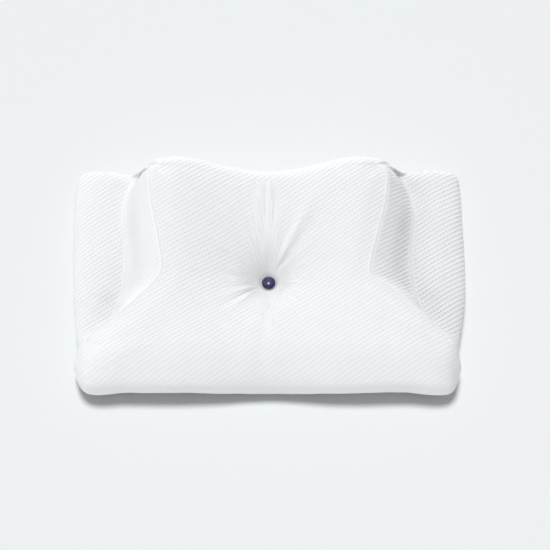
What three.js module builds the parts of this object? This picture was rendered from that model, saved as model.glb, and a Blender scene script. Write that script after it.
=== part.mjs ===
// A contoured neck pillow, lying on its back, with one button drawn down into its head hollow.
// Millimetres. +X is the pillow's right, +Y its back, where the crest lies under the neck, +Z is up.
// The origin is under the middle of the pillow, on the surface that it lies on.
import * as THREE from "three";

// The button and its seat, in the middle of the hollow
const button = { x: 0, y: -14, seatZ: 54, seatRadius: 12, gap: 0.3 };
const buttonShape = { baseRadius: 8.6, lowerRadius: 10.1, rimRadius: 10.4, rimZ: 2.6, height: 6.4 };
const buttonFineness = { facets: 32, domeStep: 15 };

// The top panel: it climbs to the crest, and levels out over the crest's last part and towards the front
const climb = { waistY: -12, waistZ: 95, slope: 0.105, crestY: 110, crestDepth: 55, levelling: 3 };
const frontRoll = { startY: -80, depth: 44 };

// The head hollow, the dip in the middle of the crest, and the droop of the flares' tips
const hollow = { y: 10, depth: 24, halfWidth: 175, spreadY: 72 };
const neckDip = { depth: 12, halfWidth: 150, narrowing: 1.3, startY: 40, length: 90 };
const droop = { depth: 8, startX: 215, length: 60 };

// How far from its seat the button draws the cloth down, and how the panel falls to its sewn edge
const draw = { spread: 18 };
const shoulder = { width: 26, fall: 3.5 };

// The bottom: the height of its seam, how far the seam, the lip under it and the contact outline lie
// inside the rim, and how high the round under the lip is as a share of the seam's height
const bottom = { seamZ: 12, seamInset: 2.5, lipInset: 3, contactInset: 13, liftInset: 3, roundShare: 0.2 };

// Seam channels: how deep a seam lies, and how far its two banks are from it
const channel = { depth: 1.6, bank: 4.5 };

// The wall's curve from the top panel to the arm: half of its fall is a power of the way, half is smooth
const wall = { bend: 1.5, smoothShare: 0.5 };

// How square the edge of an arm is: 2 is an ellipse, more is squarer
const armSquareness = 3.2;

// Mesh fineness: the rings from the button outwards, and down to the middle of the underside
const rings = { hollow: 13, wall: 5, arm: 7, side: 3, underside: 3 };
const hollowSpacing = 1.2;
const lastSideStep = 0.6;

// A section counts as sewn from this share of the seam's depth on
const sewnShare = 0.99;

// The pillow's outline in sections, from the middle of the front round the right side to the middle of
// the back. steps: rays to the next section. turn: the direction in which the section's ray leaves the
// button, in degrees. edge: the top panel's edge. foot: where the wall meets the arm. rim: the widest
// line of the outside. arm: 1 where the section has a wall and an arm, 0 where it is one round roll.
// square: how square that roll is. seam: 1 where the top panel's edge is sewn. lift: how far the
// bottom edge stands off the surface.
const columns = ["steps", "turn", "edgeX", "edgeY", "footX", "footY", "footZ",
  "rimX", "rimY", "rimZ", "arm", "square", "seam", "lift"];
const sections = {
  frontMiddle:   [4, -90,   0, -124,   0, -163, 62,    0, -182, 32, 0.0, 2.3, 0, 0],
  frontQuarter:  [4, -72, 104, -124, 104, -163, 62,  104, -180, 32, 0.0, 2.3, 0, 3],
  frontEnd:      [3, -54, 206, -124, 214, -161, 61,  208, -176, 33, 0.0, 2.3, 0, 8],
  frontCorner:   [2, -42, 255, -127, 276, -148, 56,  276, -173, 33, 0.0, 2.3, 0, 3],
  flareTip:      [2, -34, 274, -114, 287, -122, 50,  291, -150, 32, 0.3, 2.2, 1, 0],
  flareOuter:    [1, -28, 251,  -91, 256,  -83, 51,  288, -114, 30, 0.9, 2.2, 1, 0],
  flareMiddle:   [1, -24, 231,  -75, 238,  -67, 51,  293,  -90, 29, 1.0, 2.2, 1, 0],
  flareInner:    [2, -20, 209,  -57, 229,  -45, 51,  297,  -68, 28, 1.0, 2.2, 1, 0],
  waistFront:    [2, -12, 170,  -28, 223,  -27, 52,  302,  -35, 28, 1.0, 2.2, 1, 0],
  waist:         [4,  -3, 156,  -13, 221,   -4, 53,  304,   -3, 28, 1.0, 2.2, 1, 0],
  neck:          [4,  17, 167,   50, 220,   47, 54,  304,   50, 28, 1.0, 2.2, 1, 0],
  crestSide:     [2,  33, 181,  108, 226,  108, 55,  303,  108, 28, 1.0, 2.2, 1, 0],
  crestShoulder: [2,  40, 184,  138, 220,  142, 54,  302,  155, 28, 1.0, 2.2, 1, 0],
  armCorner:     [2,  44, 183,  149, 214,  157, 54,  295,  182, 28, 1.0, 2.2, 1, 0],
  armBack:       [2,  47, 181,  156, 209,  166, 53,  258,  187, 30, 1.0, 2.2, 1, 0],
  armInner:      [3,  50, 177,  160, 205,  172, 53,  221,  184, 33, 1.0, 1.7, 1, 0],
  crestCorner:   [3,  55, 170,  163, 190,  177, 80,  200,  185, 47, 0.1, 1.5, 1, 0],
  crestEdge:     [2,  60, 158,  165, 163,  177, 98,  177,  187, 72, 0.0, 2.0, 0, 0],
  crestEnd:      [3,  65, 130,  163, 132,  177, 98,  134, 184.5, 84, 0.0, 2.3, 0, 0],
  crestSlope:    [3,  76,  70,  151,  70,  166, 92,   70,  173, 78, 0.0, 2.3, 0, 0],
  crestMiddle:   [3,  90,   0,  141,   0,  156, 88,    0, 163.5, 74, 0.0, 2.3, 0, 0],
};

// Where the left side differs from the mirrored right side, in millimetres added
const leftDiffers = {
  frontEnd: { rimY: -1 },
  frontCorner: { rimY: 2 },
  flareTip: { edgeX: -1, edgeY: -4, rimX: 3, footX: 3 },
  flareOuter: { edgeX: 1, edgeY: -3, footY: -3 },
  flareMiddle: { edgeX: -1, edgeY: -6, footY: -4 },
  flareInner: { edgeX: 3, edgeY: -8, rimX: -2 },
  waistFront: { edgeX: 8, edgeY: -4, rimX: -2 },
  waist: { edgeX: 8, edgeY: 2, rimX: -2 },
  neck: { edgeX: 3 },
  crestSide: { rimX: 2 },
  crestShoulder: { rimX: 2 },
  armBack: { footZ: -2, rimY: -3 },
  armInner: { footZ: -3, rimY: -5 },
  crestCorner: { rimY: -3 },
};

// The sections' own origin lies this far in front of the middle of the pillow's depth
const middleY = 2.65;

// The main creases that run from the button: their direction in degrees, height (below 0 for a
// valley), half width in degrees, and where they fade out, measured from the button
const creases = [
  { bearing: 47, height: -2.4, width: 3.5, reach: 150 },
  { bearing: 58, height: 1.8, width: 4, reach: 150 },
  { bearing: 92, height: -1.6, width: 4, reach: 120 },
  { bearing: 217, height: -1.6, width: 5, reach: 95 },
  { bearing: 262, height: -1.6, width: 5, reach: 120 },
];

// The way in which a crease rises to its full height, from the seat's edge on
const creaseRise = 25;

const fullTurn = 360;
const halfTurn = 180;
const quarterTurn = 90;

const mix = (a, b, share) => a + (b - a) * share;
const smooth = (x) => {
  const t = Math.min(1, Math.max(0, x));
  return t * t * (3 - 2 * t);
};
const radians = THREE.MathUtils.degToRad;

// One record for each section all the way round: the right side as given, then the left side mirrored
function outlineSections() {
  const names = Object.keys(sections);
  const right = names.map((name) => {
    const row = sections[name];
    return Object.fromEntries(columns.map((column, i) => [column, row[i]]));
  });
  const left = names.slice(1, -1).reverse().map((name, i) => {
    const place = names.length - 2 - i;
    const row = { ...right[place], steps: right[place - 1].steps };
    for (const [column, change] of Object.entries(leftDiffers[name] ?? {})) {
      row[column] += change;
    }
    for (const column of ["edgeX", "footX", "rimX"]) {
      row[column] = -row[column];
    }
    row.turn = halfTurn - row.turn;
    return row;
  });
  right[right.length - 1].steps = right[right.length - 2].steps;
  return [...right, ...left];
}

// Values of all columns at each ray, by a smooth closed curve through the sections
function rayRecords() {
  const rows = outlineSections();
  const count = rows.length;
  const records = [];
  const turnAt = (i) => rows[(i + count) % count].turn + fullTurn * Math.floor(i / count);
  const valueAt = (i, column) => (column === "turn" ? turnAt(i) : rows[(i + count) % count][column]);
  const stepsAt = (i) => rows[(i + count) % count].steps;
  const slopeAt = (i, column) => {
    const before = (valueAt(i, column) - valueAt(i - 1, column)) / stepsAt(i - 1);
    const after = (valueAt(i + 1, column) - valueAt(i, column)) / stepsAt(i);
    const share = stepsAt(i - 1) / (stepsAt(i - 1) + stepsAt(i));
    return mix(before, after, share);
  };
  for (let i = 0; i < count; i += 1) {
    const steps = stepsAt(i);
    for (let k = 0; k < steps; k += 1) {
      const t = k / steps;
      const record = {};
      for (const column of columns.slice(1)) {
        const start = valueAt(i, column);
        const end = valueAt(i + 1, column);
        const bend = t * (1 - t) * steps;
        record[column] = mix(start, end, smooth(t))
          + bend * ((1 - t) * slopeAt(i, column) - t * slopeAt(i + 1, column));
      }
      record.arm = Math.min(1, Math.max(0, record.arm));
      record.seam = Math.min(1, Math.max(0, record.seam));
      record.lift = Math.max(0, record.lift);
      records.push(record);
    }
  }
  return records;
}

// The top panel's sewn edge on both sides, as the short lines between neighbouring rays
function sewnEdges(records) {
  const lines = [];
  records.forEach((record, i) => {
    const next = records[(i + 1) % records.length];
    if (record.seam > sewnShare && next.seam > sewnShare) {
      lines.push(new THREE.Line3(
        new THREE.Vector3(record.edgeX, record.edgeY, 0),
        new THREE.Vector3(next.edgeX, next.edgeY, 0),
      ));
    }
  });
  return lines;
}

const outline = rayRecords();
const sewn = sewnEdges(outline);

// Height of the creases at a place given from the button's middle
function creaseHeight(x, y) {
  const distance = Math.hypot(x, y);
  const turn = THREE.MathUtils.radToDeg(Math.atan2(y, x));
  let height = 0;
  for (const crease of creases) {
    const away = ((turn - crease.bearing + halfTurn + fullTurn) % fullTurn) - halfTurn;
    const across = Math.exp(-((away / crease.width) ** 2));
    const half = crease.reach / 2;
    const rise = smooth((distance - button.seatRadius) / creaseRise);
    const fade = 1 - smooth((distance - half) / half);
    height += crease.height * across * rise * fade;
  }
  return height;
}

// Height of the top panel at a place
function topHeight(x, y) {
  const pastCrest = Math.max(0, (y - climb.crestY) / climb.crestDepth);
  const onFront = Math.max(0, (frontRoll.startY - y) / frontRoll.depth);
  const straight = climb.waistZ + climb.slope * (y - climb.waistY);
  const level = climb.slope * frontRoll.depth * onFront ** 2 / 2 - climb.levelling * pastCrest ** 2;
  const hollowX = Math.max(0, 1 - (x / hollow.halfWidth) ** 2) ** 2;
  const hollowY = Math.exp(-(((y - hollow.y) / hollow.spreadY) ** 2));
  const dipX = Math.max(0, 1 - (x / neckDip.halfWidth) ** 2) ** neckDip.narrowing;
  const dipY = smooth((y - neckDip.startY) / neckDip.length);
  const tips = droop.depth * smooth((Math.abs(x) - droop.startX) / droop.length);
  const panel = straight + level - hollow.depth * hollowX * hollowY - neckDip.depth * dipX * dipY - tips;
  const fromSeat = Math.max(0, Math.hypot(x - button.x, y - button.y) - button.seatRadius);
  const free = 1 - Math.exp(-fromSeat / draw.spread);
  return mix(button.seatZ, panel, free) + creaseHeight(x - button.x, y - button.y);
}

// How far the top panel falls where it comes near its sewn edge
function shoulderFall(x, y) {
  const place = new THREE.Vector3(x, y, 0);
  const nearest = new THREE.Vector3();
  let distance = shoulder.width;
  for (const line of sewn) {
    line.closestPointToPoint(place, true, nearest);
    distance = Math.min(distance, nearest.distanceTo(place));
  }
  return shoulder.fall * (1 - distance / shoulder.width) ** 2;
}

// A point of the top panel: share runs from the button's seat, 0, to the panel's edge, 1
function topPoint(ray, share) {
  const edgeX = ray.edgeX - button.x;
  const edgeY = ray.edgeY - button.y;
  const length = Math.hypot(edgeX, edgeY) - button.seatRadius;
  const start = radians(ray.turn);
  const swing = Math.atan2(edgeY, edgeX) - start;
  const turn = start + smooth(share) * Math.atan2(Math.sin(swing), Math.cos(swing));
  const distance = button.seatRadius + share * length;
  const x = button.x + distance * Math.cos(turn);
  const y = button.y + distance * Math.sin(turn);
  return new THREE.Vector3(x, y, topHeight(x, y) - shoulderFall(x, y));
}

// A point on the rounded way from a flat top to a side: angle runs from 0 on the top to 90 on the side
function roundedPoint(top, side, angle, power) {
  const along = Math.sin(radians(angle)) ** (2 / power);
  const down = 1 - Math.max(0, Math.cos(radians(angle))) ** (2 / power);
  return new THREE.Vector3(mix(top.x, side.x, along), mix(top.y, side.y, along), mix(top.z, side.z, down));
}

// A point of the outside from the panel's edge, 0, over the wall's foot, 1, to the rim, 2
function outsidePoint(ray, place) {
  const edge = topPoint(ray, 1);
  const foot = new THREE.Vector3(ray.footX, ray.footY, ray.footZ);
  const rim = new THREE.Vector3(ray.rimX, ray.rimY, ray.rimZ);
  const roll = roundedPoint(edge, rim, quarterTurn * place / 2, ray.square);
  let armed;
  if (place <= 1) {
    const fall = mix(place ** wall.bend, smooth(place), wall.smoothShare);
    armed = new THREE.Vector3(mix(edge.x, foot.x, place), mix(edge.y, foot.y, place),
      mix(edge.z, foot.z, fall));
  } else {
    armed = roundedPoint(foot, rim, quarterTurn * (place - 1), armSquareness);
  }
  return roll.lerp(armed, ray.arm);
}

// A point under the rim, moved inward from it
function bottomPoint(ray, inset, z) {
  const inward = new THREE.Vector2(-ray.rimX, -ray.rimY).normalize();
  return new THREE.Vector3(ray.rimX + inward.x * inset, ray.rimY + inward.y * inset, z);
}

// All points down one ray, from the seat's edge to the last ring before the middle of the underside
function rayPoints(ray) {
  const points = [];
  const edgeLength = Math.hypot(ray.edgeX - button.x, ray.edgeY - button.y) - button.seatRadius;
  const edge = topPoint(ray, 1);
  const wallLength = edge.distanceTo(new THREE.Vector3(ray.footX, ray.footY, ray.footZ));
  for (let i = 0; i < rings.hollow; i += 1) {
    points.push(topPoint(ray, (i / rings.hollow) ** hollowSpacing));
  }
  points.push(topPoint(ray, 1 - channel.bank / edgeLength));
  points.push(edge.setZ(edge.z - channel.depth * ray.seam));
  const bank = channel.bank / wallLength;
  for (let i = 0; i < rings.wall; i += 1) {
    points.push(outsidePoint(ray, mix(bank, 1 - bank, i / (rings.wall - 1))));
  }
  const foot = outsidePoint(ray, 1);
  points.push(foot.setZ(foot.z - channel.depth * ray.arm));
  for (let i = 1; i <= rings.arm; i += 1) {
    points.push(outsidePoint(ray, 1 + i / rings.arm));
  }
  const seamZ = bottom.seamZ + ray.lift;
  for (let i = 1; i <= rings.side; i += 1) {
    const share = i / (rings.side + lastSideStep);
    points.push(bottomPoint(ray, bottom.seamInset * share ** 2, mix(ray.rimZ, seamZ, share)));
  }
  points.push(bottomPoint(ray, bottom.seamInset + channel.depth, seamZ));
  points.push(bottomPoint(ray, bottom.lipInset, seamZ - channel.bank));
  points.push(bottomPoint(ray, bottom.contactInset / 2, seamZ * bottom.roundShare));
  const contact = bottomPoint(ray, bottom.contactInset + bottom.liftInset * ray.lift, 0);
  points.push(contact);
  for (let i = 1; i < rings.underside; i += 1) {
    points.push(contact.clone().lerp(new THREE.Vector3(button.x, button.y, 0), i / rings.underside));
  }
  return points;
}

// A closed surface from rays of equal length, with a pole above and a pole below. Each square of it is
// split along its shorter diagonal.
function closedSurface(rays, topPole, bottomPole) {
  const depth = rays[0].length;
  const vertices = [topPole, ...rays.flat(), bottomPole].flatMap((point) => point.toArray());
  const at = (ray, ring) => 1 + (ray % rays.length) * depth + ring;
  const lastVertex = rays.length * depth + 1;
  const triangles = [];
  for (let ray = 0; ray < rays.length; ray += 1) {
    triangles.push(0, at(ray, 0), at(ray + 1, 0));
    const here = rays[ray];
    const next = rays[(ray + 1) % rays.length];
    for (let ring = 0; ring < depth - 1; ring += 1) {
      const [a, b, c, d] = [at(ray, ring), at(ray, ring + 1), at(ray + 1, ring + 1), at(ray + 1, ring)];
      if (here[ring].distanceTo(next[ring + 1]) < here[ring + 1].distanceTo(next[ring])) {
        triangles.push(a, b, c, a, c, d);
      } else {
        triangles.push(a, b, d, b, c, d);
      }
    }
    triangles.push(at(ray, depth - 1), lastVertex, at(ray + 1, depth - 1));
  }
  const geometry = new THREE.BufferGeometry();
  geometry.setAttribute("position", new THREE.Float32BufferAttribute(vertices, 3));
  geometry.setIndex(triangles);
  geometry.computeVertexNormals();
  return geometry;
}

// The filled cushion in its cover
function pillowBody() {
  const rays = outline.map(rayPoints);
  const seatMiddle = new THREE.Vector3(button.x, button.y, button.seatZ);
  const undersideMiddle = new THREE.Vector3(button.x, button.y, 0);
  const material = new THREE.MeshStandardMaterial({ color: 0xf1f2f4, roughness: 0.95, metalness: 0 });
  const mesh = new THREE.Mesh(closedSurface(rays, seatMiddle, undersideMiddle), material);
  mesh.name = "pillow_body";
  return mesh;
}

// The domed button: a flat base, a rounded rim and a low dome
function tuftButton() {
  const { baseRadius, lowerRadius, rimRadius, rimZ, height } = buttonShape;
  const profile = [new THREE.Vector2(0, 0), new THREE.Vector2(baseRadius, 0)];
  profile.push(new THREE.Vector2(lowerRadius, rimZ / 2));
  for (let angle = 0; angle < quarterTurn; angle += buttonFineness.domeStep) {
    const across = rimRadius * Math.cos(radians(angle));
    profile.push(new THREE.Vector2(across, rimZ + (height - rimZ) * Math.sin(radians(angle))));
  }
  profile.push(new THREE.Vector2(0, height));
  const geometry = new THREE.LatheGeometry(profile, buttonFineness.facets);
  const material = new THREE.MeshStandardMaterial({ color: 0x1c1f5a, roughness: 0.25, metalness: 0 });
  const mesh = new THREE.Mesh(geometry, material);
  mesh.name = "tuft_button";
  mesh.rotation.x = Math.PI / 2;
  mesh.position.set(button.x, button.y, button.seatZ + button.gap);
  return mesh;
}

const pillow = new THREE.Group();
pillow.add(pillowBody());
pillow.add(tuftButton());
pillow.position.y = -middleY;

export default pillow;
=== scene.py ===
import math

import bmesh
import bpy
import numpy as np
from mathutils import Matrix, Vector, noise
from mathutils.kdtree import KDTree


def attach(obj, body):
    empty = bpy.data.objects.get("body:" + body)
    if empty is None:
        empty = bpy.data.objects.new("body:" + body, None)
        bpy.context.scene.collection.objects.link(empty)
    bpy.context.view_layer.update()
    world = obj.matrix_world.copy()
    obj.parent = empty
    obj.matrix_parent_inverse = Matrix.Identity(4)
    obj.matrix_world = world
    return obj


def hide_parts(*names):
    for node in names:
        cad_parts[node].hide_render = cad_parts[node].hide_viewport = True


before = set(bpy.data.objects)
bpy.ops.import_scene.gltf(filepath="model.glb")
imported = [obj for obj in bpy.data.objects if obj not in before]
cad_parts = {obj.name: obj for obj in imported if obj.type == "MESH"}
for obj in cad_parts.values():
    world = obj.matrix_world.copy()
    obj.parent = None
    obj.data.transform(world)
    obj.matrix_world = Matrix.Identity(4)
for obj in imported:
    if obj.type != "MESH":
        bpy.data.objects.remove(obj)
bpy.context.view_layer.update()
mm = 0.001  # the tables below are in millimetres, Blender's meshes in metres


# The cover's form

pillow = {
    "button": (0, -14), "seatZ": 54, "seatRadius": 12,
    "waistY": -12, "waistZ": 95, "slope": 0.105,  # the climb from the front roll to the crest
    "crestY": 110, "crestDepth": 55, "levelling": 3, "rollY": -80, "rollDepth": 44,
    "hollowY": 10, "hollowDepth": 24, "hollowHalfWidth": 175, "hollowSpreadY": 72,
    "dipDepth": 12, "dipHalfWidth": 150, "dipNarrowing": 1.3, "dipStartY": 40, "dipLength": 90,
    "droopDepth": 8, "droopStartX": 215, "droopLength": 60,
    "drawSpread": 15,  # how far from its seat the button draws the cloth down
    "shoulderWidth": 26, "shoulderFall": 3.5,  # the top panel falls to its sewn edge
    "wallBend": 1.5, "armSquareness": 3.2,
    "pleatRise": 25,  # how soon a pleat has its full height
    "gatherLeast": 50, "gatherFull": 0.4,  # the least reach, and the share of it that is drawn in full
    "seamZ": 12, "seamInset": 2.5, "contactInset": 13, "liftInset": 3,
    "middleY": 2.65,  # the table's own origin lies this far in front of the middle
}
buttonAt = np.array(pillow["button"]) - (0, pillow["middleY"])  # measured from the middle
farAway = 1000  # millimetres from the button, for what it doesn't reach

outlineColumns = ("steps", "turn", "edgeX", "edgeY", "footX", "footY", "footZ",
                  "rimX", "rimY", "rimZ", "arm", "square", "seam", "lift")
outline = {  # from the middle of the front round the right side to the middle of the back
    "frontMiddle":   (4, -90,   0, -124,   0, -163, 62,    0, -181, 24, 0.0, 2.3, 0, 0),
    "frontQuarter":  (4, -72, 104, -124, 104, -163, 62,  104, -185.5, 41, 0.0, 2.3, 0, 16),
    "frontEnd":      (3, -54, 206, -124, 214, -161, 61,  208, -184.5, 42, 0.0, 2.3, 0, 21),
    "frontCorner":   (2, -42, 255, -127, 276, -148, 56,  277, -183.5, 36, 0.0, 2.3, 0, 14),
    "flareTip":      (2, -34, 274, -114, 287, -122, 50,  291, -150, 32, 0.3, 2.2, 1, 0),
    "flareOuter":    (1, -28, 251,  -91, 256,  -83, 51,  288, -114, 30, 0.9, 2.2, 1, 0),
    "flareMiddle":   (1, -24, 231,  -75, 238,  -67, 51,  293,  -90, 29, 1.0, 2.2, 1, 0),
    "flareInner":    (2, -20, 209,  -57, 229,  -45, 51,  297,  -68, 28, 1.0, 2.2, 1, 0),
    "waistFront":    (2, -12, 170,  -28, 223,  -27, 52,  302,  -35, 28, 1.0, 2.2, 1, 0),
    "waist":         (4,  -3, 156,  -13, 221,   -4, 53,  304,   -3, 28, 1.0, 2.2, 1, 0),
    "neck":          (4,  17, 167,   50, 220,   47, 54,  304,   50, 28, 1.0, 2.2, 1, 0),
    "crestSide":     (2,  33, 181,  108, 226,  108, 55,  303,  108, 28, 1.0, 2.2, 1, 0),
    "crestShoulder": (2,  40, 184,  138, 220,  142, 54,  302,  155, 28, 1.0, 2.2, 1, 0),
    "armCorner":     (2,  44, 183,  149, 214,  157, 54,  295,  182, 28, 1.0, 2.2, 1, 0),
    "armBack":       (2,  47, 181,  156, 209,  166, 53,  258,  187, 30, 1.0, 2.2, 1, 0),
    "armInner":      (3,  50, 177,  160, 205,  171, 53,  221,  182, 33, 1.0, 1.7, 1, 0),
    "crestCorner":   (3,  55, 170,  163, 190,  173, 80,  199,  178, 47, 0.1, 1.5, 1, 0),
    "crestEdge":     (2,  60, 158,  165, 163,  176, 98,  176,  184, 72, 0.0, 2.0, 0, 0),
    "crestEnd":      (3,  65, 130,  163, 132,  177, 98,  134, 184.5, 84, 0.0, 2.3, 0, 0),
    "crestSlope":    (3,  76,  70,  151,  70,  166, 92,   70,  173, 78, 0.0, 2.3, 0, 0),
    "crestMiddle":   (3,  90,   0,  141,   0,  156, 88,    0, 163.5, 74, 0.0, 2.3, 0, 0),
}
leftDiffers = {  # added to the mirrored right side
    "frontEnd": {"rimY": -1},
    "frontCorner": {"rimY": 0.5},
    "flareTip": {"edgeX": -1, "edgeY": -4, "rimX": 3, "footX": 3},
    "flareOuter": {"edgeX": 1, "edgeY": -3, "footY": -3},
    "flareMiddle": {"edgeX": -1, "edgeY": -6, "footY": -4},
    "flareInner": {"edgeX": 3, "edgeY": -8, "rimX": -2},
    "waistFront": {"edgeX": 8, "edgeY": -4, "rimX": -2},
    "waist": {"edgeX": 8, "edgeY": 2, "rimX": -2},
    "neck": {"edgeX": 3},
    "crestSide": {"rimX": 2},
    "crestShoulder": {"rimX": 2},
    "armBack": {"footZ": -2, "rimY": -3},
    "armInner": {"footZ": -3, "rimY": -3},
    "crestCorner": {"rimY": -1},
}

fineness = {
    "raysPerStep": 4, "seatRings": 4, "hollowRings": 66, "hollowSpacing": 1.2,
    "seamOffsets": (0.9, 1.9, 3.1, 4.8, 7), "seamGap": 3,  # rings and rays beside a seam
    "wallRings": 12, "armRings": 22, "sideRings": 7, "underRings": 8,
    "leastStep": 0.004, "leastLength": 20,  # of a step between rays, in rows, and of a wall or an arm
}

pleats = (  # bearing from the button, height, half width in degrees, start, reach
    (61, 2.4, 4.0, 16, 190), (51, -1.1, 4.5, 14, 150), (40, 0.7, 2.6, 20, 120), (70, -0.5, 1.8, 22, 110),
    (31, -0.7, 2.2, 18, 95), (22, 0.6, 2.2, 18, 90), (12, -0.4, 2.0, 22, 70),
    (79, 0.3, 1.8, 40, 220), (84, -0.4, 1.6, 34, 270), (89, 0.3, 1.4, 40, 290), (94, -0.4, 1.5, 34, 290),
    (99, 0.3, 1.5, 40, 260), (104, -0.35, 1.6, 34, 220), (109, 0.25, 1.8, 40, 160), (116, -0.35, 2.4, 28, 110),
    (124, 0.4, 2.4, 22, 80), (168, 0.5, 2.6, 18, 80), (178, -0.6, 2.2, 18, 85), (187, 0.6, 2.2, 18, 85),
    (197, -0.7, 2.2, 16, 90), (207, 1.0, 2.6, 16, 95), (216, -1.5, 3.0, 14, 105), (225, 1.1, 2.8, 16, 100),
    (236, -0.5, 2.4, 18, 70), (255, 0.7, 5.0, 60, 260), (264, -1.3, 4.5, 50, 260), (275, 0.6, 5.0, 50, 220),
    (318, -0.6, 2.8, 26, 80), (332, 0.5, 2.8, 26, 80), (350, 0.4, 2.4, 20, 70),
)

gathers = (  # bearing, half width in degrees, and how far the knit is drawn out into fine pleats
    (93, 13, 250), (112, 9, 110), (60, 8, 130), (28, 20, 75), (178, 22, 92), (212, 12, 90),
    (268, 13, 125), (300, 18, 62), (345, 14, 60), (145, 14, 62), (240, 10, 66),
)
knitShown = {  # how strongly the knit shows: less on the panel's front part, and on the front roll
    "panels": {"armRight": 1.4, "wallRight": 1.1, "wallLeft": 0.8},
    "frontY": -10, "frontDepth": 60, "frontShare": 0.7,
    "rollFrom": -100, "rollZ": 70, "rollDepth": 35, "rollShare": 0.45,
}


def blend(a, b, share):
    return a + (b - a) * share


def ease(x):
    t = np.clip(x, 0, 1)
    return t * t * (3 - 2 * t)


def bell(x, width):
    return np.exp(-(x / width) ** 2)


def unit(vectors):
    return vectors / np.maximum(np.linalg.norm(vectors, axis=-1, keepdims=True), 1e-9)


def stacked(rays, name, axes="XYZ"):
    return np.stack([rays[name + axis] for axis in axes], -1)


def outlineRows():
    names = list(outline)
    right = [dict(zip(outlineColumns, outline[name])) for name in names]
    left = []
    for place in range(len(names) - 2, 0, -1):
        row = dict(right[place], steps=right[place - 1]["steps"], turn=180 - right[place]["turn"])
        for column, change in leftDiffers.get(names[place], {}).items():
            row[column] += change
        for column in ("edgeX", "footX", "rimX"):
            row[column] = -row[column]
        left.append(row)
    right[-1]["steps"] = right[-2]["steps"]
    return right + left, names + [name + "Left" for name in names[-2:0:-1]]


def rayPlaces(rows, seamRows):
    # where the rays stand along the outline, in rows, with close ones beside each seam that runs down
    places = []
    for row, values in enumerate(rows):
        count = values["steps"] * fineness["raysPerStep"]
        places += [row + step / count for step in range(count)]
    for row in seamRows:
        for side in (-1, 1):
            beyond = rows[(row + side) % len(rows)]
            span = math.dist((rows[row]["rimX"], rows[row]["rimY"]), (beyond["rimX"], beyond["rimY"]))
            places += [row + side * offset / span for offset in fineness["seamOffsets"]]
    places.sort()
    gaps = np.diff(places, prepend=-1)
    return [place for place, gap in zip(places, gaps) if gap > fineness["leastStep"]]


def rayValues(rows, places):
    count = len(rows)
    steps = np.array([row["steps"] for row in rows], float)
    before = np.roll(steps, 1)
    start = np.floor(places).astype(int) % count
    t = np.array(places) - np.floor(places)
    following = (start + 1) % count
    rays = {}
    for column in outlineColumns[1:]:
        values = np.array([row[column] for row in rows], float)
        wrap = np.zeros(count)
        wrap[-1] = 360 if column == "turn" else 0
        rise = np.roll(values, -1) + wrap - values
        slopes = blend(np.roll(rise, 1) / before, rise / steps, before / (before + steps))
        bend = t * (1 - t) * steps[start]
        rays[column] = (values[start] + rise[start] * ease(t)
                        + bend * ((1 - t) * slopes[start] - t * slopes[following]))
    for column in ("arm", "seam"):
        rays[column] = np.clip(rays[column], 0, 1)
    rays["lift"] = np.maximum(rays["lift"], 0)
    return rays


def towards(x, y, bearing, width):
    # 1 on the bearing from the button, falling to 0 on both sides of it
    turn = np.degrees(np.arctan2(y, x))
    return bell((turn - bearing + 540) % 360 - 180, width)


def pleatHeight(x, y):
    distance = np.hypot(x, y)
    height = np.zeros_like(distance)
    for bearing, rise, width, start, reach in pleats:
        along = (ease((distance - start) / pillow["pleatRise"])
                 * (1 - ease((distance - reach / 2) / (reach / 2))))
        height += rise * towards(x, y, bearing, width) * along
    return height


def gathered(x, y):
    least, full = pillow["gatherLeast"], pillow["gatherFull"]
    distance = np.hypot(x, y)
    reach = np.full_like(distance, least)
    for bearing, width, far in gathers:
        reach = np.maximum(reach, least + (far - least) * towards(x, y, bearing, width))
    return 1 - ease((distance / reach - full) / (1 - full))


def topHeight(x, y):
    p = pillow
    pastCrest = np.maximum(0, (y - p["crestY"]) / p["crestDepth"])
    onRoll = np.maximum(0, (p["rollY"] - y) / p["rollDepth"])
    slope = (p["waistZ"] + p["slope"] * (y - p["waistY"] + p["rollDepth"] * onRoll ** 2 / 2)
             - p["levelling"] * pastCrest ** 2)
    hollowX = np.maximum(0, 1 - (x / p["hollowHalfWidth"]) ** 2) ** 2
    hollowY = bell(y - p["hollowY"], p["hollowSpreadY"])
    dipX = np.maximum(0, 1 - (x / p["dipHalfWidth"]) ** 2) ** p["dipNarrowing"]
    dipY = ease((y - p["dipStartY"]) / p["dipLength"])
    tips = p["droopDepth"] * ease((np.abs(x) - p["droopStartX"]) / p["droopLength"])
    panel = slope - p["hollowDepth"] * hollowX * hollowY - p["dipDepth"] * dipX * dipY - tips
    buttonX, buttonY = p["button"]
    fromSeat = np.maximum(0, np.hypot(x - buttonX, y - buttonY) - p["seatRadius"])
    free = 1 - np.exp(-fromSeat / p["drawSpread"])
    return blend(p["seatZ"], panel, free) + pleatHeight(x - buttonX, y - buttonY)


def shoulderFall(x, y, sewn):
    # the fall grows towards the nearest of the short lines that make the sewn edge
    starts, ends = sewn
    along = ends - starts
    points = np.stack((x, y), -1)[:, None, :]
    share = ((points - starts) * along).sum(-1) / (along ** 2).sum(-1)
    nearest = starts + np.clip(share, 0, 1)[..., None] * along
    distance = np.minimum(np.linalg.norm(points - nearest, axis=-1).min(1), pillow["shoulderWidth"])
    return pillow["shoulderFall"] * (1 - distance / pillow["shoulderWidth"]) ** 2


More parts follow.
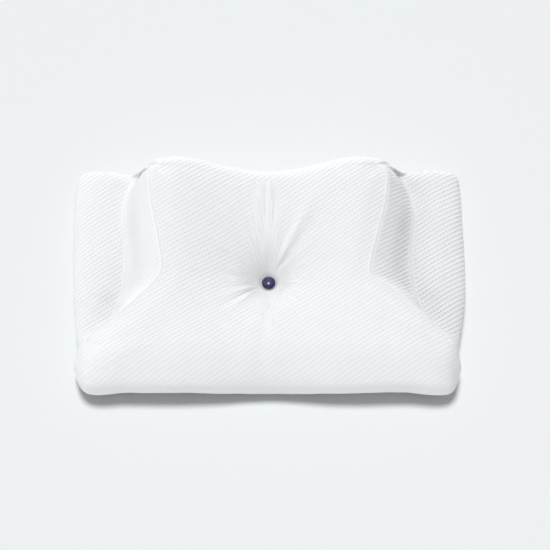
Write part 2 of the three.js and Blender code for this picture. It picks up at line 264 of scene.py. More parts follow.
def topPoints(rays, share):
    # share runs from the button's seat, 0, to the panel's edge, 1
    buttonX, buttonY = pillow["button"]
    dx, dy = rays["edgeX"] - buttonX, rays["edgeY"] - buttonY
    start = np.radians(rays["turn"])
    swing = np.arctan2(dy, dx) - start
    turn = start + ease(share) * np.arctan2(np.sin(swing), np.cos(swing))
    distance = pillow["seatRadius"] + share * (np.hypot(dx, dy) - pillow["seatRadius"])
    x, y = buttonX + distance * np.cos(turn), buttonY + distance * np.sin(turn)
    return np.stack((x, y, topHeight(x, y) - shoulderFall(x, y, rays["sewn"])), -1)


def rolled(top, side, angle, power):
    along = np.sin(angle) ** (2 / power)
    down = 1 - np.maximum(0, np.cos(angle)) ** (2 / power)
    weights = np.stack((along, along, down), -1)
    return top + (side - top) * weights


def outsidePoints(rays, place):
    # place runs from the panel's edge, 0, over the wall's foot, 1, to the rim, 2
    place = place * np.ones(len(rays["turn"]))
    edge, foot, rim = rays["edge"], stacked(rays, "foot"), stacked(rays, "rim")
    roll = rolled(edge, rim, place * math.pi / 4, rays["square"])
    fallen = np.clip(place, 0, 1)
    fall = (fallen ** pillow["wallBend"] + ease(fallen)) / 2
    wall = edge + (foot - edge) * np.stack((fallen, fallen, fall), -1)
    squareness = np.full_like(place, pillow["armSquareness"])
    arm = rolled(foot, rim, np.clip(place - 1, 0, 1) * math.pi / 2, squareness)
    armed = np.where(place[:, None] <= 1, wall, arm)
    return blend(roll, armed, rays["arm"][:, None])


def bottomPoints(rays, inset, z):
    rim = stacked(rays, "rim", "XY")
    inward = -rim / np.linalg.norm(rim, axis=1, keepdims=True)
    flat = rim + inward * np.reshape(inset * np.ones(len(rim)), (-1, 1))
    return np.column_stack((flat, z * np.ones(len(rim))))


def coverRings(rays):
    # all rings from the middle of the seat, over the top, the walls and the arms, to the underside
    buttonX, buttonY = pillow["button"]
    turn = np.radians(rays["turn"])
    offsets = np.array(fineness["seamOffsets"])
    edgeLength = np.hypot(rays["edgeX"] - buttonX, rays["edgeY"] - buttonY) - pillow["seatRadius"]
    rays["edge"] = topPoints(rays, np.ones(len(turn)))
    foot, rim = stacked(rays, "foot"), stacked(rays, "rim")
    wallLength = np.maximum(np.linalg.norm(foot - rays["edge"], axis=1), fineness["leastLength"])
    armLength = np.maximum(np.linalg.norm(rim - foot, axis=1), fineness["leastLength"])
    rings, marks = [], {}
    for i in range(1, fineness["seatRings"]):
        distance = pillow["seatRadius"] * i / fineness["seatRings"]
        rings.append(np.column_stack((buttonX + distance * np.cos(turn), buttonY + distance * np.sin(turn),
                                      np.full(len(turn), pillow["seatZ"]))))
    lastShare = 1 - (offsets[-1] + fineness["seamGap"]) / edgeLength
    for i in range(fineness["hollowRings"]):
        share = (i / (fineness["hollowRings"] - 1)) ** fineness["hollowSpacing"]
        rings.append(topPoints(rays, share * lastShare))
    for offset in offsets[::-1]:
        rings.append(topPoints(rays, 1 - offset / edgeLength))
    marks["edge"] = len(rings)
    rings.append(rays["edge"])
    for offset in offsets:
        rings.append(outsidePoints(rays, offset / wallLength))
    for i in range(1, fineness["wallRings"]):
        nearShare = offsets[-1] / wallLength
        rings.append(outsidePoints(rays, blend(nearShare, 1 - nearShare, i / fineness["wallRings"])))
    for offset in offsets[::-1]:
        rings.append(outsidePoints(rays, 1 - offset / wallLength))
    marks["foot"] = len(rings)
    rings.append(outsidePoints(rays, 1))
    for offset in offsets:
        rings.append(outsidePoints(rays, 1 + offset / armLength))
    for i in range(1, fineness["armRings"] + 1):
        rings.append(outsidePoints(rays, blend(1 + offsets[-1] / armLength, 2, i / fineness["armRings"])))
    seamZ = pillow["seamZ"] + rays["lift"]
    nearSeam = (rays["rimZ"] - seamZ - offsets[-1]) / (rays["rimZ"] - seamZ)
    for i in range(1, fineness["sideRings"]):
        share = nearSeam * i / (fineness["sideRings"] - 1)
        rings.append(bottomPoints(rays, pillow["seamInset"] * share ** 2, blend(rays["rimZ"], seamZ, share)))
    for offset in offsets[-2::-1]:
        share = 1 - offset / (rays["rimZ"] - seamZ)
        rings.append(bottomPoints(rays, pillow["seamInset"] * share ** 2, seamZ + offset))
    marks["seam"] = len(rings)
    rings.append(bottomPoints(rays, pillow["seamInset"], seamZ))
    contact = pillow["contactInset"] + pillow["liftInset"] * rays["lift"]
    for i in range(1, fineness["sideRings"] + 1):  # a quarter round down to the contact outline
        angle = math.pi / 2 * i / fineness["sideRings"]
        inset = blend(pillow["seamInset"], contact, 1 - math.cos(angle))
        rings.append(bottomPoints(rays, inset, seamZ * (1 - math.sin(angle))))
    flat = rings[-1]
    middle = np.array([buttonX, buttonY, 0])
    for i in range(1, fineness["underRings"]):
        rings.append(blend(flat, middle, i / fineness["underRings"]))
    return np.array(rings), marks


# The cover's mesh

panelLay = {  # how each panel's cloth is laid: turn in degrees, pull, shift in millimetres
    "top": (0, 1, 0, 0), "wallRight": (0, 1.17, 3.1, 1.7), "armRight": (1, 1.02, 1.3, 4.2),
    "wallLeft": (2, 1, 2.2, 3.6), "armLeft": (-1, 1.05, 4.4, 1.1), "bottom": (4, 1, 0.7, 2.9),
}

seamShape = {
    "groove": 0.9, "grooveWidth": 1.0, "grooveShift": -0.5,
    "ridge": 0.5, "ridgeWidth": 1.0, "ridgeShift": 1.7,  # the pressed seam allowance under the outer panel
    "drawnIn": 0.6, "drawnWidth": 6,
    "pucker": 0.35, "puckerLength": 11, "puckerWidth": 13, "puckerSeed": 3,
    "share": {"edge": 0.8, "foot": 0.5, "seam": 1}, "sewnFrom": 0.99,
    "downTop": 45, "downStrength": 0.6,  # a seam that runs down starts at this height
    "fadeY": 132, "fadeDepth": 22, "fadeShare": 0.85,  # the seams run out at the crest's back corners
}

unevenness = {
    "broad": 1.1, "broadLength": 62, "broadSeed": 7, "fine": 0.3, "fineLength": 24, "fineSeed": 11,
    "calmTo": 14, "calmLength": 30, "restHeight": 8,  # even round the button and where the cover rests
}

steadiness = 0.35  # how far the flat laying keeps to the way of the step before


def coverForm():
    rows, names = outlineRows()
    seamRows = {name: names.index(name) for name in
                ("flareTip", "armInner", "crestCorner", "crestCornerLeft", "armInnerLeft", "flareTipLeft")}
    places = rayPlaces(rows, seamRows.values())
    footRows = [names.index(name) for name in ("flareMiddle", "armInner", "armInnerLeft", "flareMiddleLeft")]
    rays = rayValues(rows, places)
    edges = stacked(rays, "edge", "XY")
    rays["onSeam"] = rays["seam"] > seamShape["sewnFrom"]
    sewn = rays["onSeam"] & np.roll(rays["onSeam"], -1)
    rays["sewn"] = (edges[sewn], np.roll(edges, -1, axis=0)[sewn])
    grid, marks = coverRings(rays)
    grid[..., 1] -= pillow["middleY"]
    marks["down"] = {name: places.index(row) for name, row in seamRows.items()}
    marks["footRays"] = [places.index(row) for row in footRows]  # from, to, from, to
    return grid, rays, marks


def laidFlat(grid, first):
    # from the first ring on, each ring's step from the last is laid flat in its plan direction, so the knit
    # keeps its size on slopes
    flat = grid[..., :2] - buttonAt
    way = unit(flat[0] if first == 0 else grid[first + 1, :, :2] - grid[first, :, :2])
    for ring in range(first + 1, len(grid)):
        step = grid[ring] - grid[ring - 1]
        length = np.linalg.norm(step, axis=-1, keepdims=True)
        way = unit(step[:, :2] + steadiness * length * way)
        flat[ring] = flat[ring - 1] + way * length
    return flat


def panelOf(ring, ray, marks):
    down = marks["down"]
    if ring < marks["edge"]:
        return "top"
    if ring >= marks["seam"]:
        return "bottom"
    onRight = down["flareTip"] <= ray < down["crestCorner"]
    onLeft = down["crestCornerLeft"] <= ray < down["flareTipLeft"]
    if not onRight and not onLeft:
        return "top"
    side = "Right" if onRight else "Left"
    behindArm = ray >= down["armInner"] if onRight else ray < down["armInnerLeft"]
    rightFrom, _, _, leftTo = marks["footRays"]
    onWall = ring < marks["foot"] and rightFrom <= ray < leftTo
    return "wall" + side if onWall or behindArm else "arm" + side


def finished(bm, name):
    mesh = bpy.data.meshes.new(name)
    bm.to_mesh(mesh)
    bm.free()
    return mesh


def placed(name, data):
    made = bpy.data.objects.new(name, data)
    bpy.context.scene.collection.objects.link(made)
    return made


def coverMesh(grid, marks):
    rings, rays = grid.shape[:2]
    seatX, seatY = grid[0, :, 0].mean(), grid[0, :, 1].mean()
    bm = bmesh.new()
    bmesh.ops.create_uvsphere(bm, u_segments=rays, v_segments=rings + 1, radius=1)
    ringLayer = bm.verts.layers.int.new("ring")
    rayLayer = bm.verts.layers.int.new("ray")
    shareLayer = bm.verts.layers.float.new("shown")
    for vert in bm.verts:
        ring = round(math.acos(max(-1, min(1, vert.co.z))) / math.pi * (rings + 1))
        ray = round(math.atan2(vert.co.y, vert.co.x) / math.tau * rays) % rays
        vert[ringLayer], vert[rayLayer] = ring, ray
        if ring == 0:
            vert.co = (seatX * mm, seatY * mm, pillow["seatZ"] * mm)
        elif ring == rings + 1:
            vert.co = (seatX * mm, seatY * mm, 0)
        else:
            vert.co = grid[ring - 1, ray] * mm
    fromButton = laidFlat(grid, 0)
    fromEdge = laidFlat(grid, marks["edge"])
    fromFoot = laidFlat(grid, marks["foot"])
    uvLayer = bm.loops.layers.uv.new("cloth")
    for face in bm.faces:
        faceRays = [vert[rayLayer] for vert in face.verts if 0 < vert[ringLayer] <= rings]
        ray = max(faceRays) if max(faceRays) - min(faceRays) > 1 else min(faceRays)
        ring = max(0, min(vert[ringLayer] for vert in face.verts) - 1)
        panel = panelOf(ring, ray, marks)
        for vert in face.verts:
            vert[shareLayer] = knitShown["panels"].get(panel, 1)
        flat = fromButton if panel == "top" else fromEdge if ring < marks["foot"] else fromFoot
        turn, pull, shiftX, shiftY = panelLay[panel]
        cosine, sine = pull * math.cos(math.radians(turn)), pull * math.sin(math.radians(turn))
        for loop in face.loops:
            at = loop.vert[ringLayer]
            if panel == "bottom" or at in (0, rings + 1):
                u, v = loop.vert.co.x / mm - seatX, loop.vert.co.y / mm - seatY
            else:
                u, v = flat[at - 1, loop.vert[rayLayer]]
            loop[uvLayer].uv = ((u * cosine - v * sine + shiftX) * mm, (u * sine + v * cosine + shiftY) * mm)
        face.smooth = True
    bmesh.ops.recalc_face_normals(bm, faces=bm.faces)
    return finished(bm, "pillow_cover")


def readPoints(mesh):
    points = np.empty(len(mesh.vertices) * 3)
    mesh.vertices.foreach_get("co", points)
    return points.reshape(-1, 3)


def readNormals(mesh):
    normals = np.empty(len(mesh.vertices) * 3)
    mesh.vertex_normals.foreach_get("vector", normals)
    return normals.reshape(-1, 3)


def readNumbers(mesh, name, kind=int):
    numbers = np.empty(len(mesh.vertices), kind)
    mesh.attributes[name].data.foreach_get("value", numbers)
    return numbers


def writePoints(mesh, points):
    mesh.vertices.foreach_set("co", points.ravel())
    mesh.update()


def writeAttribute(mesh, name, values):
    attribute = mesh.attributes.get(name) or mesh.attributes.new(name, "FLOAT", "POINT")
    attribute.data.foreach_set("value", values.astype(np.float32))


def seamPoints(grid, rays, marks):
    # points on all seams, in millimetres, each with the ring that it lies on, or 0 on a seam that runs down,
    # and with the seam's strength there
    s = seamShape
    number = np.arange(grid.shape[1])
    rightFrom, rightTo, leftFrom, leftTo = marks["footRays"]
    onFoot = ((number >= rightFrom) & (number <= rightTo)) | ((number >= leftFrom) & (number <= leftTo))
    points, ringOf, strength = [], [], []
    for mark, used in (("edge", rays["onSeam"]), ("foot", onFoot), ("seam", number >= 0)):
        share = s["share"][mark]
        found = grid[marks[mark]][used]
        fade = s["fadeShare"] * ease((found[:, 1] - s["fadeY"]) / s["fadeDepth"]) if mark != "seam" else 0
        points += list(found)
        ringOf += [marks[mark]] * len(found)
        strength += list(share * (np.ones(len(found)) - fade))
    for name, ray in marks["down"].items():
        found = grid[marks["edge"]:marks["seam"], ray]
        if not name.startswith("flareTip"):
            found = found[found[:, 2] < s["downTop"]]
        points += list(found)
        ringOf += [0] * len(found)
        strength += [s["downStrength"]] * len(found)
    return points, ringOf, strength


def kdTree(points):
    tree = KDTree(len(points))
    for number, point in enumerate(points):
        tree.insert(point, number)
    tree.balance()
    return tree


# The stuffing: a copy is blown up a little between its seams, and the cover follows it

stuffing = {
    "voxel": 6 * mm, "pressure": 4, "frames": 20, "tension": 30, "bending": 2, "damping": 8,
    "smaller": 2.2, "most": 4.5,  # millimetres: the start is smaller, and no point moves further
    "heldBySeam": 9, "freeFromSeam": 34, "heldByButton": 22, "freeFromButton": 60,
    "heldByRest": 2, "freeFromRest": 14, "topFrom": 40,  # heights; the button holds nothing below the last
    "leastWeight": 0.01, "quality": 5, "neighbours": 14, "reach": 9,
}


def heldShare(points, seams):
    # 1 where the cover is held: at its seams, round the button and where it rests
    s = stuffing
    x, y, z = points.T
    fromSeam = np.array([seams.find(point)[2] for point in points])
    fromButton = np.hypot(x - buttonAt[0], y - buttonAt[1]) + farAway * (z < s["topFrom"])
    held = np.zeros(len(points))
    for by, distance in (("Seam", fromSeam), ("Button", fromButton), ("Rest", z)):
        full, none = s["heldBy" + by], s["freeFrom" + by]
        held = np.maximum(held, 1 - ease((distance - full) / (none - full)))
    return held


def blownUp(mesh, seams):
    s = stuffing
    scene = bpy.context.scene
    pad = placed("stuffing", mesh.copy())
    remesh = pad.modifiers.new("remesh", "REMESH")
    remesh.mode = "VOXEL"
    remesh.voxel_size = s["voxel"]
    depsgraph = bpy.context.evaluated_depsgraph_get()
    coarse = bpy.data.meshes.new_from_object(pad.evaluated_get(depsgraph))
    pad.modifiers.clear()
    pad.data = coarse
    start = readPoints(coarse) / mm
    held = heldShare(start, seams)
    group = pad.vertex_groups.new(name="held")
    for number, weight in enumerate(held):
        if weight > s["leastWeight"]:
            group.add([number], float(weight), "REPLACE")
    cloth = pad.modifiers.new("cloth", "CLOTH")
    cloth.settings.quality = s["quality"]
    cloth.settings.tension_stiffness = s["tension"]
    cloth.settings.compression_stiffness = s["tension"]
    cloth.settings.bending_stiffness = s["bending"]
    cloth.settings.tension_damping = s["damping"]
    cloth.settings.use_pressure = True
    cloth.settings.uniform_pressure_force = s["pressure"]
    cloth.settings.effector_weights.gravity = 0
    cloth.settings.vertex_group_mass = "held"
    cloth.point_cache.frame_start, cloth.point_cache.frame_end = 1, s["frames"]
    for number in range(1, s["frames"] + 1):
        scene.frame_set(number)
    depsgraph = bpy.context.evaluated_depsgraph_get()
    end = readPoints(pad.evaluated_get(depsgraph).data) / mm
    scene.frame_set(1)
    bpy.data.objects.remove(pad)
    moved = end - start
    length = np.linalg.norm(moved, axis=1, keepdims=True)
    print("stuffing: largest move", round(float(length.max()), 1), "mm, mean", round(float(length.mean()), 2))
    return start, unit(moved) * s["most"] * (1 - np.exp(-length / s["most"]))


def stuffedPoints(mesh, seams):
    s = stuffing
    points, normals = readPoints(mesh) / mm, readNormals(mesh)
    start, moves = blownUp(mesh, seams)
    tree = kdTree(start)
    followed = np.empty_like(points)
    for number, point in enumerate(points):
        near = tree.find_n(point, s["neighbours"])
        weights = np.array([math.exp(-(found[2] / s["reach"]) ** 2) for found in near])
        followed[number] = weights @ moves[[found[1] for found in near]] / max(weights.sum(), 1e-9)
    free = 1 - heldShare(points, seams)
    return points + followed - normals * (free * s["smaller"])[:, None]


def seamHeight(fromSeam, side):
    s = seamShape
    across = fromSeam * side
    groove = s["groove"] * bell(across - s["grooveShift"], s["grooveWidth"])
    ridge = s["ridge"] * bell(across - s["ridgeShift"], s["ridgeWidth"])
    return ridge - groove - s["drawnIn"] * bell(fromSeam, s["drawnWidth"])


def noiseAt(points, length, seed):
    return np.array([noise.noise(Vector(point) / length + Vector((seed, seed, seed))) for point in points])


def finishCover(mesh, grid, marks, seams, ringOf, strength):
    # seams, puckers and unevenness along the cover's normals, and what the knit's material reads
    points, normals = readPoints(mesh) / mm, readNormals(mesh)
    ring = readNumbers(mesh, "ring") - 1
    ray = readNumbers(mesh, "ray")
    base = np.zeros_like(points)
    inside = (ring >= 0) & (ring < len(grid))
    base[inside] = grid[ring[inside], ray[inside]]
    base[~inside] = points[~inside]
    found = [seams.find(point) for point in base]
    fromSeam = np.array([hit[2] for hit in found])
    nearest = np.array([ringOf[hit[1]] for hit in found])
    sewnShare = np.array([strength[hit[1]] for hit in found])
    side = np.where((nearest > 0) & (ring < nearest), -1, 1)
    aside = base[:, :2] - buttonAt
    fromButton = np.hypot(aside[:, 0], aside[:, 1])
    onTop = ring < marks["edge"]
    s, u, k = seamShape, unevenness, knitShown
    pucker = (s["pucker"] * noiseAt(points, s["puckerLength"], s["puckerSeed"])
              * bell(fromSeam, s["puckerWidth"]))
    uneven = (u["broad"] * noiseAt(points, u["broadLength"], u["broadSeed"])
              + u["fine"] * noiseAt(points, u["fineLength"], u["fineSeed"]))
    calm = ease((fromButton - u["calmTo"]) / u["calmLength"])
    height = (seamHeight(fromSeam, side) + pucker) * sewnShare + uneven * np.where(onTop, calm, 1)
    resting = ring > marks["seam"]
    height = np.where(resting, height * ease(points[:, 2] / u["restHeight"]), height)
    points = points + normals * height[:, None]
    points[:, 2] = np.maximum(points[:, 2], 0)
    writePoints(mesh, points * mm)
    writeAttribute(mesh, "acrossSeam", fromSeam * side * mm)
    writeAttribute(mesh, "sewn", sewnShare)
    writeAttribute(mesh, "fromButton", np.where(onTop, fromButton, farAway) * mm)
    drawn = np.where(onTop, gathered(aside[:, 0], aside[:, 1]), 0)
    writeAttribute(mesh, "gathered", drawn)
    front = blend(1, k["frontShare"], ease((k["frontY"] - base[:, 1]) / k["frontDepth"]))
    roll = blend(1, k["rollShare"], ease((k["rollZ"] - base[:, 2]) / k["rollDepth"]))
    onFront = (ring < marks["seam"]) & (base[:, 1] < k["rollFrom"])
    share = readNumbers(mesh, "shown", np.float32) * np.where(onTop | onFront, front, 1)
    writeAttribute(mesh, "shown", share * np.where(onFront, roll, 1) * (1 - drawn))
    for name in ("ring", "ray"):
        mesh.attributes.remove(mesh.attributes[name])


def makeCover():
    grid, rays, marks = coverForm()
    mesh = coverMesh(grid, marks)
    points, ringOf, strength = seamPoints(grid, rays, marks)
    seams = kdTree(points)
    print("cover: moulded,", len(mesh.polygons), "faces")
    writePoints(mesh, stuffedPoints(mesh, seams) * mm)
    print("cover: stuffed")
    finishCover(mesh, grid, marks, seams, ringOf, strength)
    cover = placed("pillow_cover", mesh)
    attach(cover, "root")
    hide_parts("pillow_body")
    print("cover: seams and creases")
    return cover


# The button

button = {
    "baseRadius": 8.4, "rimRadius": 10.4, "rimHeight": 2.5, "beadRadius": 0.75, "domeHeight": 3.6,
    "flareInset": 0.5, "flareHeight": 0.45,  # where the side turns into the rim: inset, share of its height
    "beadFrom": -50, "beadTurn": 190, "domeInset": 0.1, "domeLift": 0.1,
    "gap": 0.3, "beadSteps": 6, "domeSteps": 14, "spinSteps": 96, "weld": 0.01,
}


def buttonProfile():
    b = button
    profile = [(0, 0), (b["baseRadius"], 0),
               (b["rimRadius"] - b["flareInset"], b["rimHeight"] * b["flareHeight"])]
    for i in range(b["beadSteps"] + 1):  # the rolled rim
        angle = math.radians(b["beadFrom"] + b["beadTurn"] * i / b["beadSteps"])
        across = b["rimRadius"] - b["beadRadius"] + b["beadRadius"] * math.cos(angle)
        profile.append((across, b["rimHeight"] + b["beadRadius"] * math.sin(angle)))
    domeRadius = b["rimRadius"] - 2 * b["beadRadius"] - b["domeInset"]
    domeFoot = b["rimHeight"] + b["domeLift"]
    for i in range(b["domeSteps"] + 1):
        angle = math.radians(90 * i / b["domeSteps"])
        profile.append((domeRadius * math.cos(angle), domeFoot + b["domeHeight"] * math.sin(angle)))
    return profile


def makeButton():
    b = button
    bm = bmesh.new()
    verts = [bm.verts.new((x * mm, 0, z * mm)) for x, z in buttonProfile()]
    edges = [bm.edges.new(pair) for pair in zip(verts, verts[1:])]
    bmesh.ops.spin(bm, geom=verts + edges, axis=(0, 0, 1), cent=(0, 0, 0), angle=math.tau,
                   steps=b["spinSteps"], use_merge=True)
    bmesh.ops.remove_doubles(bm, verts=bm.verts, dist=b["weld"] * mm)
    bmesh.ops.recalc_face_normals(bm, faces=bm.faces)
    seat = Vector(np.array([*buttonAt, pillow["seatZ"] + b["gap"]]) * mm)
    bmesh.ops.translate(bm, verts=bm.verts, vec=seat)
    for face in bm.faces:
        face.smooth = True
    dome = placed("button_dome", finished(bm, "button_dome"))
    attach(dome, "root")
    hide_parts("tuft_button")
    print("button: made")
    return dome


# Materials

class Wire:
    tree = None  # the node tree that is being built

    def __init__(self, socket):
        self.socket = socket

    @classmethod
    def node(cls, kind, settings=None, sockets=None, output=0):
        made = cls.tree.nodes.new(kind)
        for name, value in (settings or {}).items():
            setattr(made, name, value)
        for name, value in (sockets or {}).items():
            if isinstance(value, Wire):
                cls.tree.links.new(value.socket, made.inputs[name])
            else:
                made.inputs[name].default_value = value
        return cls(made.outputs[output])

    @classmethod
    def maths(cls, operation, *values):
        return cls.node("ShaderNodeMath", {"operation": operation}, dict(enumerate(values)))

    def __add__(self, other):
        return self.maths("ADD", self, other)

    def __sub__(self, other):
        return self.maths("SUBTRACT", self, other)

    def __rsub__(self, other):
        return self.maths("SUBTRACT", other, self)

    def __mul__(self, other):
        return self.maths("MULTIPLY", self, other)

    def __truediv__(self, other):
        return self.maths("DIVIDE", self, other)

    def __pow__(self, other):
        return self.maths("POWER", self, other)


def stepUp(value, low, high):
    return Wire.node("ShaderNodeMapRange", {"interpolation_type": "SMOOTHSTEP"},
                     {"Value": value, "From Min": low, "From Max": high})


def tinted(mask, plain, tint):
    return Wire.node("ShaderNodeMix", {"data_type": "RGBA"}, {0: mask, 6: plain, 7: tint}, output=2)


def newMaterial(name, inputs):
    material = bpy.data.materials.new(name)
    material.use_nodes = True
    Wire.tree = material.node_tree
    shader = material.node_tree.nodes["Principled BSDF"]
    for socket, value in inputs.items():
        shader.inputs[socket].default_value = value
    return material, shader


knit = {
    "rowTurn": 34, "rowPitch": 6.7 * mm, "cellPitch": 5.3 * mm,
    "swayScale": 16, "swayDepth": 3 * mm,
    # the light tone below is painted light, used round the button and on the pleats' lit sides; the ridge tone is
    # a painted highlight along the seam's raised ridge
    "paintedLight": (0.8, 0.806, 0.812, 1), "white": (0.70, 0.707, 0.714, 1), "ridge": (0.92, 0.925, 0.93, 1),
    # the dot tone serves the knit's dots and also painted shade: in the seam's groove, close round the button and
    # on the pleats' shaded sides
    "between": (0.58, 0.585, 0.59, 1), "dot": (0.42, 0.425, 0.43, 1),
    "dotAlong": (0.3, 0.95), "dotAcross": (0.4, 0.95),
    "rowDepth": 0.38, "dotDepth": 0.3, "stitchPitch": 1.3 * mm, "stitchDepth": 0.05,
    "streakFineness": 23, "streakLength": 8, "streakDepth": 1.7,
    "streakDetail": 3, "streakRoughness": 0.7, "streakFrom": (12 * mm, 26 * mm),
    "bySeam": (2.5 * mm, 6 * mm), "bySeamLeast": 0.2,  # the knit shows less beside a seam
    "grooveShift": 0.4 * mm, "grooveHalf": (0.3 * mm, 1.4 * mm),
    "ridgeShift": 1.7 * mm, "ridgeHalf": (0.4 * mm, 1.4 * mm),
    "litRound": (16 * mm, 44 * mm), "shadedRound": (11 * mm, 17 * mm), "pleatedFrom": (20 * mm, 36 * mm),
    "paintedPleatShade": (0.5, 0.66), "paintedPleatLight": (0.34, 0.5),
    "shader": {"Roughness": 0.92, "Specular IOR Level": 0.2, "Sheen Weight": 0.3, "Sheen Roughness": 0.4},
}
knitTones = {  # how far each mask draws the cloth towards its tone; groove, shadedRound and the pleats' dark streaks are painted shade, ridge, litRound and the pleats' bright streaks painted light
    "between": 0.12, "dot": 0.26, "groove": 0.35, "ridge": 0.1, "litRound": 0.5, "shadedRound": 0.25,
    "paintedPleatShade": 0.26, "paintedPleatLight": 0.38,
}


def knitMaterial():
    k, tones = knit, knitTones
    material, shader = newMaterial("knit_cover", k["shader"])
    cloth = Wire.node("ShaderNodeUVMap", {"uv_map": "cloth"})
    u = Wire.node("ShaderNodeSeparateXYZ", None, {0: cloth}, output=0)
    v = Wire.node("ShaderNodeSeparateXYZ", None, {0: cloth}, output=1)
    fromButton, acrossSeam, sewn, drawn, share = [
        Wire.node("ShaderNodeAttribute", {"attribute_name": name}, output=2)
        for name in ("fromButton", "acrossSeam", "sewn", "gathered", "shown")]
    # the rows bend a little, as a stretched knit does
    sway = Wire.node("ShaderNodeTexNoise", {"noise_dimensions": "2D"},
                     {"Vector": cloth, "Scale": k["swayScale"], "Detail": 1})
    cosine, sine = math.cos(math.radians(k["rowTurn"])), math.sin(math.radians(k["rowTurn"]))
    along = u * cosine + v * sine
    across = v * cosine - u * sine + (sway - 0.5) * k["swayDepth"]
    row = across / k["rowPitch"]
    cell = along / k["cellPitch"] + Wire.maths("FLOOR", row + 0.5) * 0.5
    # 0 in the middle of a row or cell, 1 between two of them
    rowAway = Wire.maths("ABSOLUTE", Wire.maths("FRACT", row) - 0.5) * 2
    cellAway = Wire.maths("ABSOLUTE", Wire.maths("FRACT", cell) - 0.5) * 2
    rowCrown = 1 - rowAway ** 2
    dot = stepUp(cellAway, *k["dotAlong"]) * stepUp(rowAway, *k["dotAcross"])
    bySeam = stepUp(Wire.maths("ABSOLUTE", acrossSeam), *k["bySeam"])
    shown = share * (bySeam * (1 - k["bySeamLeast"]) + k["bySeamLeast"])
    # fine pleats that run from the button
    polar = Wire.node("ShaderNodeCombineXYZ", None, {
        0: u / fromButton * k["streakFineness"], 1: v / fromButton * k["streakFineness"],
        2: fromButton * k["streakLength"]})
    streak = Wire.node("ShaderNodeTexNoise", None, {
        "Vector": polar, "Scale": 1, "Detail": k["streakDetail"], "Roughness": k["streakRoughness"]})
    byButton = stepUp(fromButton, *k["streakFrom"])
    stitchU = Wire.maths("SINE", along * (math.tau / k["stitchPitch"]))
    stitchV = Wire.maths("SINE", across * (math.tau / k["stitchPitch"]))
    height = (rowCrown * shown * k["rowDepth"] - dot * shown * k["dotDepth"]
              + (streak - 0.5) * drawn * byButton * k["streakDepth"] + stitchU * stitchV * k["stitchDepth"])
    bump = Wire.node("ShaderNodeBump", None, {"Strength": 1, "Distance": 1 * mm, "Height": height})
    # painted shade: the seam's groove is drawn darker, towards the dot tone
    groove = 1 - stepUp(Wire.maths("ABSOLUTE", acrossSeam + k["grooveShift"]), *k["grooveHalf"])
    # painted highlight: a lighter line along the seam's raised ridge, where light catches it
    ridge = 1 - stepUp(Wire.maths("ABSOLUTE", acrossSeam - k["ridgeShift"]), *k["ridgeHalf"])
    # painted shade and painted light on the sides of the fine pleats, from the same noise as their bump
    pleated = drawn * stepUp(fromButton, *k["pleatedFrom"])
    tone = k["white"]
    for name, mask, tint in (
            ("between", (1 - rowCrown) * shown, "between"),
            ("dot", dot * shown, "dot"),
            ("groove", groove * sewn, "dot"),
            ("litRound", 1 - stepUp(fromButton, *k["litRound"]), "paintedLight"),
            ("shadedRound", 1 - stepUp(fromButton, *k["shadedRound"]), "dot"),
            ("paintedPleatShade", stepUp(streak, *k["paintedPleatShade"]) * pleated, "dot"),
            ("paintedPleatLight", (1 - stepUp(streak, *k["paintedPleatLight"])) * pleated, "paintedLight"),
            ("ridge", ridge * sewn, "ridge")):
        tone = tinted(mask * tones[name], tone, k[tint])
    Wire.tree.links.new(tone.socket, shader.inputs["Base Color"])
    Wire.tree.links.new(bump.socket, shader.inputs["Normal"])
    return material


enamel = {
    "navy": (0.016, 0.018, 0.10, 1), "deep": (0.010, 0.011, 0.07, 1),
    "cloudScale": 260, "cloudDetail": 3, "grainScale": 2400, "grainDetail": 2,
    "grainStrength": 0.15, "grainDepth": 0.05 * mm,
    "roughness": 0.45, "rougher": 0.1, "rougherFrom": (0.2, 0.9),
    "shader": {"Coat Weight": 0.4, "Coat Roughness": 0.12},
}


def buttonMaterial():
    e = enamel
    material, shader = newMaterial("button_navy", e["shader"])
    place = Wire.node("ShaderNodeTexCoord", None, None, output=3)
    cloud = Wire.node("ShaderNodeTexNoise", None,
                      {"Vector": place, "Scale": e["cloudScale"], "Detail": e["cloudDetail"]})
    tone = tinted(cloud, e["navy"], e["deep"])
    Wire.tree.links.new(tone.socket, shader.inputs["Base Color"])
    grain = Wire.node("ShaderNodeTexNoise", None,
                      {"Vector": place, "Scale": e["grainScale"], "Detail": e["grainDetail"]})
    bump = Wire.node("ShaderNodeBump", None,
                     {"Strength": e["grainStrength"], "Distance": e["grainDepth"], "Height": grain})
    Wire.tree.links.new(bump.socket, shader.inputs["Normal"])
    shine = stepUp(cloud, *e["rougherFrom"]) * e["rougher"] + e["roughness"]
    Wire.tree.links.new(shine.socket, shader.inputs["Roughness"])
    return material


# The scene round it

studio = {
    "floorSize": 5, "floorSquares": 8, "floorTone": (0.965, 0.99, 1.0, 1), "floorRoughness": 0.7,
    "worldTone": (0.985, 0.995, 1.0, 1), "lightTone": (0.985, 0.992, 1.0), "worldStrength": 0.27,
    "elevation": 65, "distance": 3.0, "focal": 127.64, "sensor": 36,
    "target": (0.0098, -0.00265, 0.055),
}

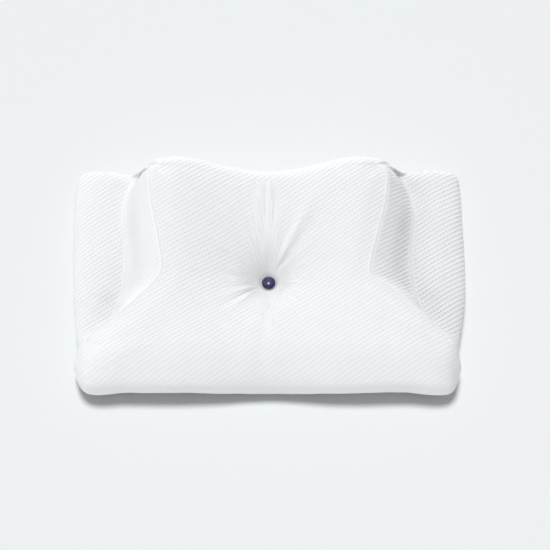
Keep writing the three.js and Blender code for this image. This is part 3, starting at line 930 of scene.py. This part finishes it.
studioLights = {  # azimuth and elevation in degrees, strength, spread, whether the floor is kept out of it
    "key": (98, 80, 1.96, 0.25, False), "frontFill": (262, 4, 2.5, 0.9, True),
    "leftFill": (168, 24, 1.0, 0.9, True), "backFill": (84, 10, 2.5, 0.9, True),
    "rightFill": (20, 60, 0.12, 0.9, True),
}


def makeStudio(parts):
    s = studio
    bm = bmesh.new()
    bmesh.ops.create_grid(bm, x_segments=s["floorSquares"], y_segments=s["floorSquares"], size=s["floorSize"] / 2)
    floor = placed("floor", finished(bm, "floor"))
    floorLook = {"Base Color": s["floorTone"], "Roughness": s["floorRoughness"]}
    floor.data.materials.append(newMaterial("pale_floor", floorLook)[0])

    world = bpy.data.worlds.new("studio")
    world.use_nodes = True
    background = world.node_tree.nodes["Background"].inputs
    background["Color"].default_value = s["worldTone"]
    background["Strength"].default_value = s["worldStrength"]
    bpy.context.scene.world = world

    lit = bpy.data.collections.new("lit")
    for part in parts:
        lit.objects.link(part)
    for name, (azimuth, elevation, strength, spread, partsOnly) in studioLights.items():
        light = bpy.data.lights.new(name, "SUN")
        light.energy, light.angle, light.color = strength, spread, s["lightTone"]
        lamp = placed(name, light)
        rise, turn = math.radians(elevation), math.radians(azimuth)
        toLight = Vector((math.cos(turn) * math.cos(rise), math.sin(turn) * math.cos(rise), math.sin(rise)))
        lamp.rotation_euler = (-toLight).to_track_quat("-Z", "Y").to_euler()
        if partsOnly:
            lamp.light_linking.receiver_collection = lit
            light.cycles.max_bounces = 0  # nor does it reach the floor off the cushion

    lens = bpy.data.cameras.new("camera")
    lens.lens, lens.sensor_width = s["focal"], s["sensor"]
    camera = placed("camera", lens)
    angle = math.radians(s["elevation"])
    away = Vector((0, -math.cos(angle), math.sin(angle)))
    camera.location = Vector(s["target"]) + away * s["distance"]
    camera.rotation_euler = (-away).to_track_quat("-Z", "Y").to_euler()
    bpy.context.scene.camera = camera
    bpy.context.scene.view_settings.view_transform = "Standard"
    print("studio: floor, light and camera")


cover = makeCover()
cover.data.materials.append(knitMaterial())
dome = makeButton()
dome.data.materials.append(buttonMaterial())
makeStudio((cover, dome))
